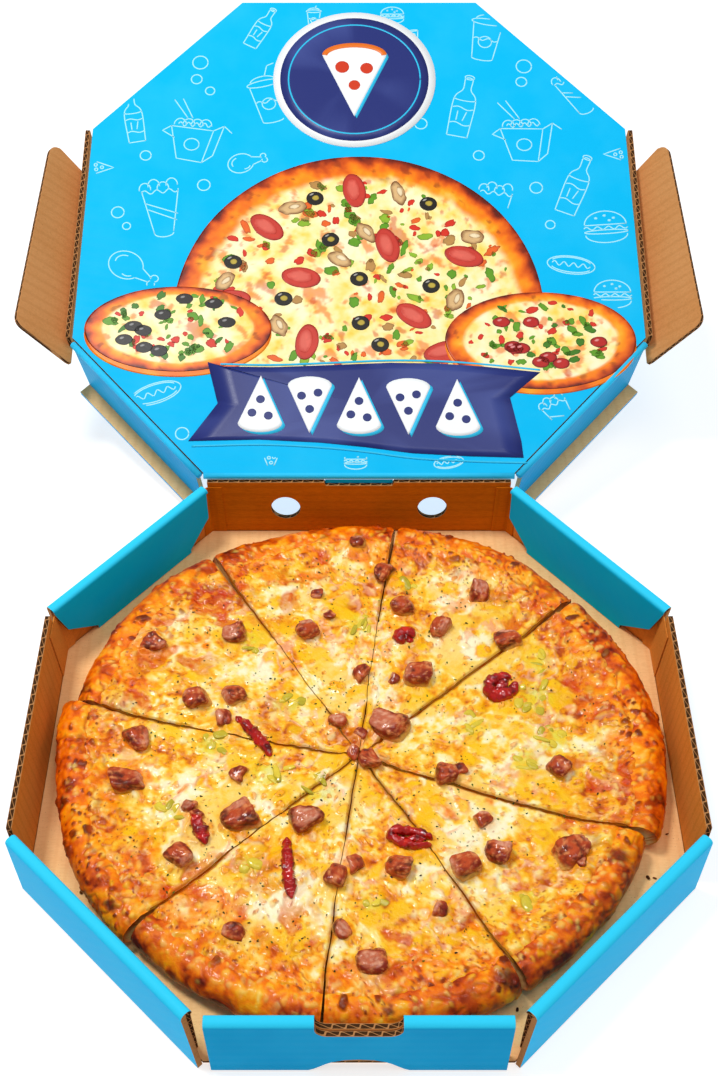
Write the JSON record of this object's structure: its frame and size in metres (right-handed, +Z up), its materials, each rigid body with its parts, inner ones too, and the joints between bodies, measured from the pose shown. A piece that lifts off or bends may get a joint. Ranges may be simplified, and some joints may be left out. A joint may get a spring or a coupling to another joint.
{
  "type": "pizza in its box",
  "caption": "Octagonal takeaway box of corrugated board, its hinged lid standing open, holding a sliced round pizza with melted cheese, diced sausage and red pepper.",
  "frame": {"origin": "middle of the underside of the tray floor, on the surface that the box rests on", "axes": "+Z up, +Y from the front wall to the hinged back wall and the open lid, +X to the right seen from the front"},
  "size_m": [0.4176, 0.671, 0.1637],
  "materials": {
    "kraft_board": "plain brown kraft liner, faint flute lines, cut corrugated edges",
    "blue_board": "corrugated board printed sky blue, satin varnish",
    "printed_board": "corrugated board printed blue with plain pictures of food, satin varnish",
    "baked_crust": "browned, blistered bread crust with oily sheen",
    "melted_cheese": "melted cheese, cream to golden, browned in spots, glossy",
    "diced_sausage": "browned diced sausage, moist",
    "red_pepper": "roasted red pepper, wet gloss"
  },
  "bodies": {
    "tray": {"tray_floor": "kraft_board", "back_wall": "kraft_board", "left_wall": "kraft_board", "right_wall": "kraft_board", "back_left_wall": "blue_board", "back_right_wall": "blue_board", "front_left_wall": "blue_board", "front_right_wall": "blue_board", "front_wall": "blue_board", "crust_1": "baked_crust", "crust_2": "baked_crust", "crust_3": "baked_crust", "crust_4": "baked_crust", "crust_5": "baked_crust", "crust_6": "baked_crust", "crust_7": "baked_crust", "crust_8": "baked_crust", "cheese_1": "melted_cheese", "cheese_2": "melted_cheese", "cheese_3": "melted_cheese", "cheese_4": "melted_cheese", "cheese_5": "melted_cheese", "cheese_6": "melted_cheese", "cheese_7": "melted_cheese", "cheese_8": "melted_cheese", "sausage_1": "diced_sausage", "sausage_2": "diced_sausage", "sausage_3": "diced_sausage", "sausage_4": "diced_sausage", "sausage_5": "diced_sausage", "sausage_6": "diced_sausage", "sausage_7": "diced_sausage", "sausage_8": "diced_sausage", "sausage_9": "diced_sausage", "sausage_10": "diced_sausage", "sausage_11": "diced_sausage", "sausage_12": "diced_sausage", "sausage_13": "diced_sausage", "sausage_14": "diced_sausage", "sausage_15": "diced_sausage", "sausage_16": "diced_sausage", "sausage_17": "diced_sausage", "sausage_18": "diced_sausage", "sausage_19": "diced_sausage", "sausage_20": "diced_sausage", "sausage_21": "diced_sausage", "sausage_22": "diced_sausage", "sausage_23": "diced_sausage", "sausage_24": "diced_sausage", "pepper_1": "red_pepper", "pepper_2": "red_pepper", "pepper_3": "red_pepper", "pepper_4": "red_pepper", "pepper_5": "red_pepper", "pepper_6": "red_pepper"},
    "lid": {"lid_panel": "printed_board", "side_flap_left": "kraft_board", "side_flap_right": "kraft_board"},
    "skirt_left": {"lid_skirt_left": "blue_board"},
    "skirt_right": {"lid_skirt_right": "blue_board"}
  },
  "joints": [
    {"name": "lid_hinge", "type": "hinge", "parent": "tray", "child": "lid", "pos_m": [0, 0.175, 0.0455], "axis": [1, 0, 0], "range_deg": [-20, 160]},
    {"name": "skirt_left_fold", "type": "hinge", "parent": "lid", "child": "skirt_left", "pos_m": [-0.13697, 0.21717, 0.06085], "axis": [-0.6765, 0.692, 0.2519], "range_deg": [0, 160]},
    {"name": "skirt_right_fold", "type": "hinge", "parent": "lid", "child": "skirt_right", "pos_m": [0.13697, 0.21717, 0.06085], "axis": [-0.6765, -0.692, -0.2519], "range_deg": [0, 160]}
  ]
}
